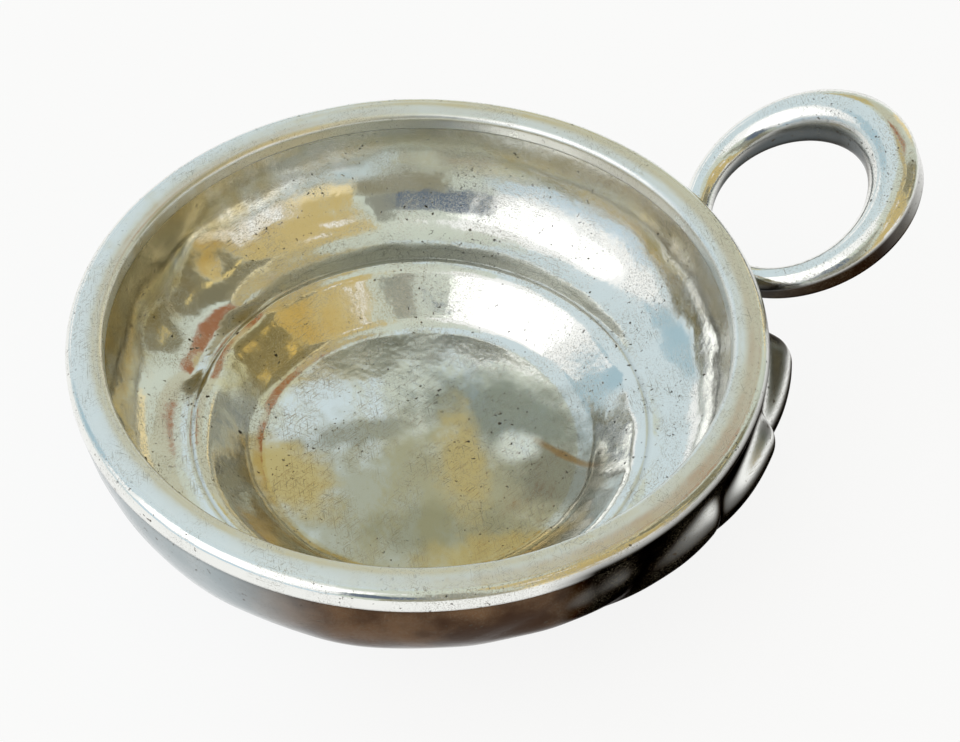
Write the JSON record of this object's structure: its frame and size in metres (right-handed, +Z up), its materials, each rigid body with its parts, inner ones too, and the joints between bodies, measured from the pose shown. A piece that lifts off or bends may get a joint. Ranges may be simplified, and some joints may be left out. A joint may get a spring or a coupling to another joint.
{
  "type": "tastevin",
  "caption": "Shallow round silver wine-tasting cup with a sunk flat floor, a thick rim band, slanted gadroons along one side of the wall and a tapered finger ring.",
  "frame": {"origin": "centre of the flat underside of the foot, on the cup's axis", "axes": "+X from the cup's axis towards the finger ring, +Z up out of the mouth, +Y completes a right-handed frame, so the gadroons lie on the -Y side"},
  "size_m": [0.1112, 0.0843, 0.033],
  "materials": {
    "silver": "polished, worn and scratched"
  },
  "bodies": {
    "root": {"bowl": "silver", "rim_band": "silver", "ring_handle": "silver"}
  },
  "joints": []
}
